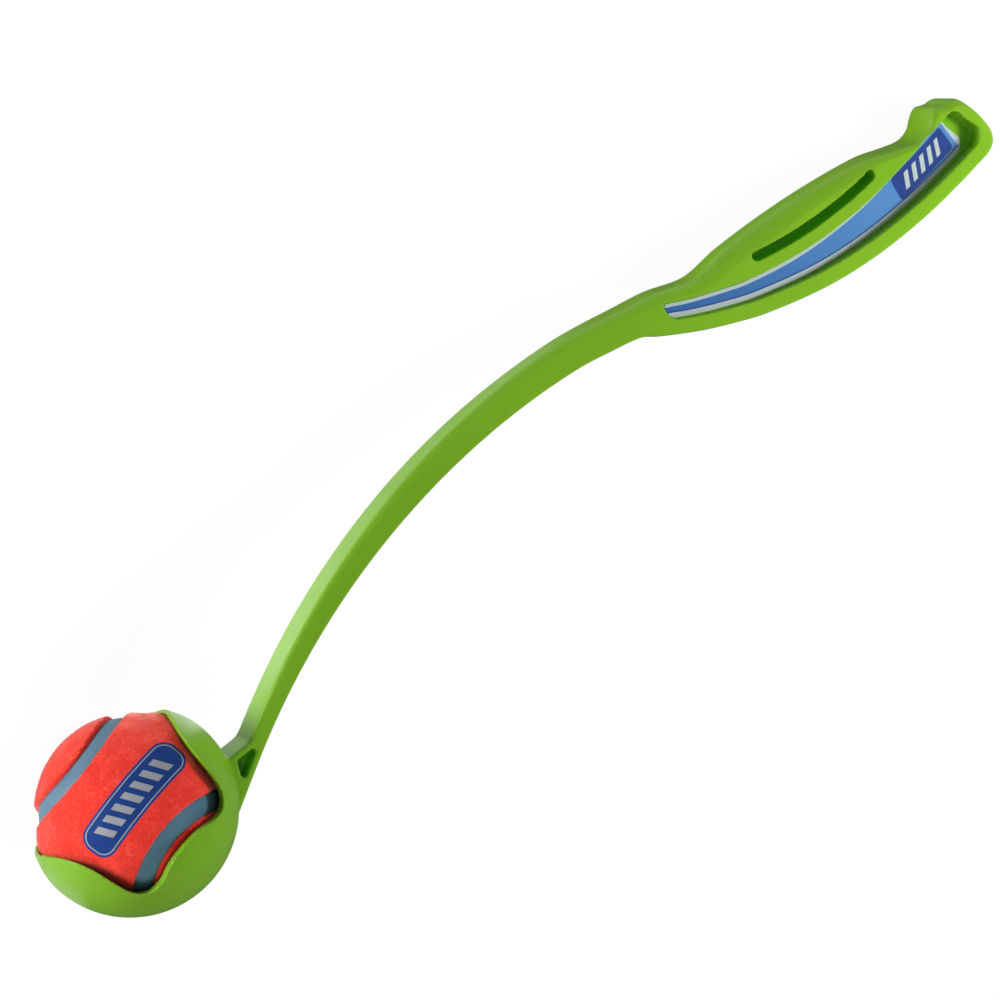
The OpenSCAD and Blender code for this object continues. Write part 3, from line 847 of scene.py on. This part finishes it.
# the badge on the ball: where the ink is, and its colour
def badgePrint(tree):
    place, turn, scale = ballPlace.inverted().decompose()
    axes = addNode(tree, "ShaderNodeSeparateXYZ")
    join(tree, objectSpace(tree, place, turn.to_euler(), scale), axes.inputs["Vector"])
    x, y, z = axes.outputs
    u = maths(tree, "MULTIPLY", maths(tree, "SUBTRACT", x, y), math.sqrt(0.5))
    u = maths(tree, "SUBTRACT", u, badge["along"])
    v = maths(tree, "MULTIPLY", maths(tree, "ADD", x, y), math.sqrt(0.5))
    v = maths(tree, "SUBTRACT", v, badge["across"])
    edge = roundedBox(tree, u, v, badge["halfLength"], badge["halfWidth"], badge["round"])
    inked = maths(tree, "MULTIPLY", spread(tree, edge, felt["inkEdge"], -felt["inkEdge"]),
                  spread(tree, z, 0, 1))
    line = spread(tree, maths(tree, "ABSOLUTE", maths(tree, "ADD", edge, badge["line"])),
                  badge["lineHalf"] + felt["lineEdge"], badge["lineHalf"] - felt["lineEdge"])
    motif = maths(tree, "MAXIMUM", line, slantedBars(tree, u, v, badge))
    return inked, blendColour(tree, motif, felt["ink"], felt["bar"])


def ballFelt():
    mat, tree, shader = newMaterial("ballFelt")
    space = objectSpace(tree)
    strands = noiseField(tree, space, felt["strandScale"], detail=4, roughness=0.6)
    tufts = noiseField(tree, space, felt["tuftScale"])
    tone = mixFields(tree, strands, tufts, felt["tuftShare"])
    nap = blendColour(tree, spread(tree, tone, *felt["redSpan"]), felt["deep"], felt["red"])
    nap = blendColour(tree, spread(tree, tone, *felt["paleSpan"]), nap, felt["pale"])
    inked, printed = badgePrint(tree)
    join(tree, blendColour(tree, inked, nap, printed), shader.inputs["Base Color"])
    join(tree, spread(tree, inked, 0, 1, *felt["rough"]), shader.inputs["Roughness"])
    shader.inputs["Specular IOR Level"].default_value = felt["specular"]
    join(tree, spread(tree, inked, 0, 1, *felt["sheen"]), shader.inputs["Sheen Weight"])
    shader.inputs["Sheen Roughness"].default_value = felt["sheenRough"]
    shader.inputs["Sheen Tint"].default_value = felt["sheenTint"]
    # painted light: the nap glows a little and the ink not at all, and ambient occlusion dims the glow
    # where the cup and the seam shade it
    glowOcclusion = addNode(tree, "ShaderNodeAmbientOcclusion", samples=6, Distance=felt["glowShadeReach"])
    free = spread(tree, glowOcclusion.outputs["AO"], *felt["glowShadeSpan"])
    lit = maths(tree, "MULTIPLY", free, spread(tree, inked, 0, 1, *felt["glow"]))
    join(tree, nap, shader.inputs["Emission Color"])
    join(tree, lit, shader.inputs["Emission Strength"])
    relief = maths(tree, "MULTIPLY", strands, spread(tree, inked, 0, 1, *felt["relief"]))
    addBump(tree, shader, relief, *felt["strandBump"])
    return mat


rubber = {
    "blue": (0.110, 0.235, 0.335), "blueDeep": (0.088, 0.198, 0.290), "core": (0.045, 0.050, 0.058),
    "seamRough": 0.55, "coreRough": 0.7, "roughSpread": 0.06, "cloudScale": 70, "tone": (0.35, 0.65),
    "roughScale": 300, "patchSpan": (0.3, 0.7), "grainScale": 1500, "grainBump": (0.15, 0.0002),
}


def plainRubber(name, light, deep, rough):
    mat, tree, shader = newMaterial(name)
    space = objectSpace(tree)
    clouds = noiseField(tree, space, rubber["cloudScale"], detail=4)
    colour = blendColour(tree, spread(tree, clouds, *rubber["tone"]), deep, light)
    join(tree, colour, shader.inputs["Base Color"])
    patches = noiseField(tree, space, rubber["roughScale"])
    low, high = rough - rubber["roughSpread"], rough + rubber["roughSpread"]
    join(tree, spread(tree, patches, *rubber["patchSpan"], low, high), shader.inputs["Roughness"])
    addBump(tree, shader, noiseField(tree, space, rubber["grainScale"], detail=2), *rubber["grainBump"])
    return mat


ink = {
    "blue": (0.088, 0.250, 0.560), "blueDeep": (0.042, 0.145, 0.430), "navy": (0.018, 0.052, 0.260),
    "silver": (0.50, 0.58, 0.58), "wash": (45.0, 130.0), "plateEdge": 0.1, "rough": 0.3,
    "rippleScale": 260, "rippleBump": (0.05, 0.0002),
    # outer and inner edge of each stripe's fade, from the film's own edge
    "navyLine": (2.6, 2.4), "bellyBand": (2.1, 1.95), "palmBand": (1.5, 1.35), "endBand": (1.8, 1.6),
}
# navy panel near the broad end, with its own row of slanted bars
plate = {"middle": 18.6, "rise": 0.5, "halfLength": 15.0, "halfWidth": 4.9, "round": 1.6,
         "pitch": 4.4, "barHalf": 1.1, "slant": 0.42, "rowHalf": 11.0, "barHigh": 2.9}


def printedFilm():
    mat, tree, shader = newMaterial("printedFilm")
    fields = [addNode(tree, "ShaderNodeAttribute", attribute_name=name) for name in label["distances"]]
    fromBelly, fromPalm, fromEnd = [field.outputs["Fac"] for field in fields]
    colour = blendColour(tree, spread(tree, fromEnd, *ink["wash"]), ink["blue"], ink["blueDeep"])
    u = maths(tree, "SUBTRACT", fromEnd, plate["middle"])
    v = maths(tree, "MULTIPLY", maths(tree, "SUBTRACT", fromBelly, fromPalm), 0.5)
    v = maths(tree, "SUBTRACT", v, plate["rise"])
    edge = roundedBox(tree, u, v, plate["halfLength"], plate["halfWidth"], plate["round"])
    panel = blendColour(tree, slantedBars(tree, u, v, plate), ink["navy"], ink["silver"])
    colour = blendColour(tree, spread(tree, edge, ink["plateEdge"], -ink["plateEdge"]), colour, panel)
    for distance, stripe, paint in ((fromBelly, "navyLine", "navy"), (fromBelly, "bellyBand", "silver"),
                                    (fromPalm, "palmBand", "silver"), (fromEnd, "endBand", "silver")):
        colour = blendColour(tree, spread(tree, distance, *ink[stripe]), colour, ink[paint])
    join(tree, colour, shader.inputs["Base Color"])
    shader.inputs["Roughness"].default_value = ink["rough"]
    ripple = noiseField(tree, objectSpace(tree), ink["rippleScale"], detail=2)
    addBump(tree, shader, ripple, *ink["rippleBump"])
    return mat


# pieces into place

def settle(piece, material, body, slot, *nodes):
    piece.data.materials.clear()
    piece.data.materials.append(material)
    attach(piece, body)
    if nodes:
        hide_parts(*nodes)


feltMaterial = ballFelt()
settle(makeWand(), limePlastic(), "launcher", "moulded_plastic", "wand")
settle(makeLabel(), printedFilm(), "launcher", "label_film", "grip_label")
frontSeed, backSeed = ball["seeds"]
settle(makePanel("feltPanelFront", 1, frontSeed), feltMaterial, "ball", "ball_felt", "felt_panel_front")
settle(makePanel("feltPanelBack", -1, backSeed), feltMaterial, "ball", "ball_felt", "felt_panel_back")
settle(makeSeam(), plainRubber("seamRubber", rubber["blue"], rubber["blueDeep"], rubber["seamRough"]),
       "ball", "seam_rubber", "ball_seam")
coreMaterial = plainRubber("coreRubber", rubber["core"], rubber["core"], rubber["coreRough"])
for name in ("ball_core_front", "ball_core_back"):
    core = frame["nodes"][name]
    core.data.materials.clear()
    core.data.materials.append(coreMaterial)


# floor, light and camera

studio = {"floorSize": 12.0, "floorWhite": 0.86, "floorRough": 0.9, "floorSpecular": 0.1,
          "whiteShare": 0.9, "glow": 1.05, "ambient": 0.24, "air": (0.97, 0.98, 1.0, 1),
          "aim": (0, 0, 0.03)}
# painted reflection: how bright the floor looks only where the object mirrors it: from, to, and the level
# at each, which is 0 and 1 where none is given
paintedReflection = {
    "neck": (0.055, 0.01, 0.08, 1.05), "cup": (-0.05, -0.12, 0, 1.4), "pastCup": (-0.12, -0.145, 0, 1.65),
    "slope": 0.4, "behind": (0.045, 0.053, 0.06, 1), "beforeNeck": (-0.03, 0.03),
    "gripAlong": (0.03, 0.07), "gripBehind": (0.04, 0.06),
}


# painted reflection: brightest by the neck and the cup, and dark under the grip, except on its palm side
def paintedReflectionLevel(tree):
    axes = addNode(tree, "ShaderNodeSeparateXYZ")
    join(tree, objectSpace(tree), axes.inputs["Vector"])
    x, y = axes.outputs[:2]
    bright = maths(tree, "ADD", spread(tree, x, *paintedReflection["neck"]), spread(tree, x, *paintedReflection["cup"]))
    bright = maths(tree, "SUBTRACT", bright, spread(tree, x, *paintedReflection["pastCup"]))
    behind = maths(tree, "SUBTRACT", y, maths(tree, "MULTIPLY", x, paintedReflection["slope"]))
    clear = maths(tree, "MAXIMUM", spread(tree, behind, *paintedReflection["behind"]),
                  spread(tree, x, *paintedReflection["beforeNeck"]))
    palmSide = maths(tree, "MULTIPLY", spread(tree, x, *paintedReflection["gripAlong"]),
                     spread(tree, y, *paintedReflection["gripBehind"]))
    return maths(tree, "MAXIMUM", maths(tree, "MULTIPLY", bright, clear), palmSide)


def makeFloor():
    bm = bmesh.new()
    bmesh.ops.create_grid(bm, x_segments=2, y_segments=2, size=studio["floorSize"] / 2)
    floor = makePiece("studioFloor", bm, smooth=False)
    mat, tree, shader = newMaterial("floorPaper")
    white = studio["floorWhite"]
    shader.inputs["Base Color"].default_value = (white, white, white, 1)
    shader.inputs["Roughness"].default_value = studio["floorRough"]
    shader.inputs["Specular IOR Level"].default_value = studio["floorSpecular"]
    rays = addNode(tree, "ShaderNodeLightPath")
    mirrored = maths(tree, "MAXIMUM", rays.outputs["Is Glossy Ray"], rays.outputs["Is Transmission Ray"])
    seen = maths(tree, "MAXIMUM", rays.outputs["Is Camera Ray"], mirrored)
    glow = addNode(tree, "ShaderNodeEmission")
    level = addNode(tree, "ShaderNodeMix", data_type="FLOAT")
    join(tree, mirrored, level.inputs["Factor"])
    level.inputs["A"].default_value = studio["glow"]
    # mirrored rays see the painted reflection level instead of the even white glow
    join(tree, paintedReflectionLevel(tree), level.inputs["B"])
    join(tree, level.outputs["Result"], glow.inputs["Strength"])
    both = addNode(tree, "ShaderNodeMixShader")
    join(tree, maths(tree, "MULTIPLY", seen, studio["whiteShare"]), both.inputs["Fac"])
    join(tree, shader.outputs["BSDF"], both.inputs[1])
    join(tree, glow.outputs["Emission"], both.inputs[2])
    join(tree, both.outputs["Shader"], tree.nodes["Material Output"].inputs["Surface"])
    floor.data.materials.append(mat)


def makeWorld():
    world = bpy.data.worlds.new("studioAir")
    bpy.context.scene.world = world
    world.use_nodes = True
    tree = world.node_tree
    soft = tree.nodes["Background"]
    soft.inputs["Color"].default_value = studio["air"]
    soft.inputs["Strength"].default_value = studio["ambient"]
    white = addNode(tree, "ShaderNodeBackground", Strength=1.0)
    white.inputs["Color"].default_value = (1, 1, 1, 1)
    rays = addNode(tree, "ShaderNodeLightPath")
    both = addNode(tree, "ShaderNodeMixShader")
    join(tree, rays.outputs["Is Camera Ray"], both.inputs["Fac"])
    join(tree, soft.outputs["Background"], both.inputs[1])
    join(tree, white.outputs["Background"], both.inputs[2])
    join(tree, both.outputs["Shader"], tree.nodes["World Output"].inputs["Surface"])


camera = {"place": (-0.31654, 0.43347, 1.21388), "turn": (-8.8412, -22.2049, -32.5711),
          "lens": 132.1, "sensor": 36.0, "far": 50.0}


def makeCamera():
    eye = bpy.data.objects.new("photoCamera", bpy.data.cameras.new("photoCamera"))
    eye.location = camera["place"]
    eye.rotation_euler = [math.radians(a) for a in camera["turn"]]
    eye.data.lens = camera["lens"]
    eye.data.sensor_width = camera["sensor"]
    eye.data.clip_end = camera["far"]
    bpy.context.scene.collection.objects.link(eye)
    bpy.context.scene.camera = eye
    bpy.context.view_layer.update()
    return eye


# place is seen from the camera: right, up and towards it from the part's middle, in metres
lamps = [
    {"name": "leftSoftbox", "place": (-1.05, 0.05, 0.5), "size": 0.4, "watts": 12.0, "mirrored": True},
    {"name": "gripSoftbox", "place": (0.556, 0.073, 0.091), "size": 0.16, "watts": 2.35, "mirrored": False},
    {"name": "frontSoftbox", "place": (-0.1, -0.65, 0.5), "size": 0.5, "watts": 1.75, "mirrored": False},
    {"name": "palmSoftbox", "place": (0.002, 0.314, 0.060), "size": 0.06, "watts": 0.06, "mirrored": False},
]


def makeLamps(eye):
    axes = eye.matrix_world.to_3x3()
    middle = Vector(studio["aim"])
    for lamp in lamps:
        data = bpy.data.lights.new(lamp["name"], "AREA")
        data.shape = "DISK"
        data.size = lamp["size"]
        data.energy = lamp["watts"]
        light = bpy.data.objects.new(lamp["name"], data)
        light.location = middle + axes @ Vector(lamp["place"])
        light.visible_glossy = lamp["mirrored"]
        aim = middle - light.location
        light.rotation_euler = aim.to_track_quat("-Z", "Y").to_euler()
        bpy.context.scene.collection.objects.link(light)


makeFloor()
makeWorld()
makeLamps(makeCamera())
bpy.context.scene.view_settings.view_transform = "Standard"
print("stage, lamps and camera set")
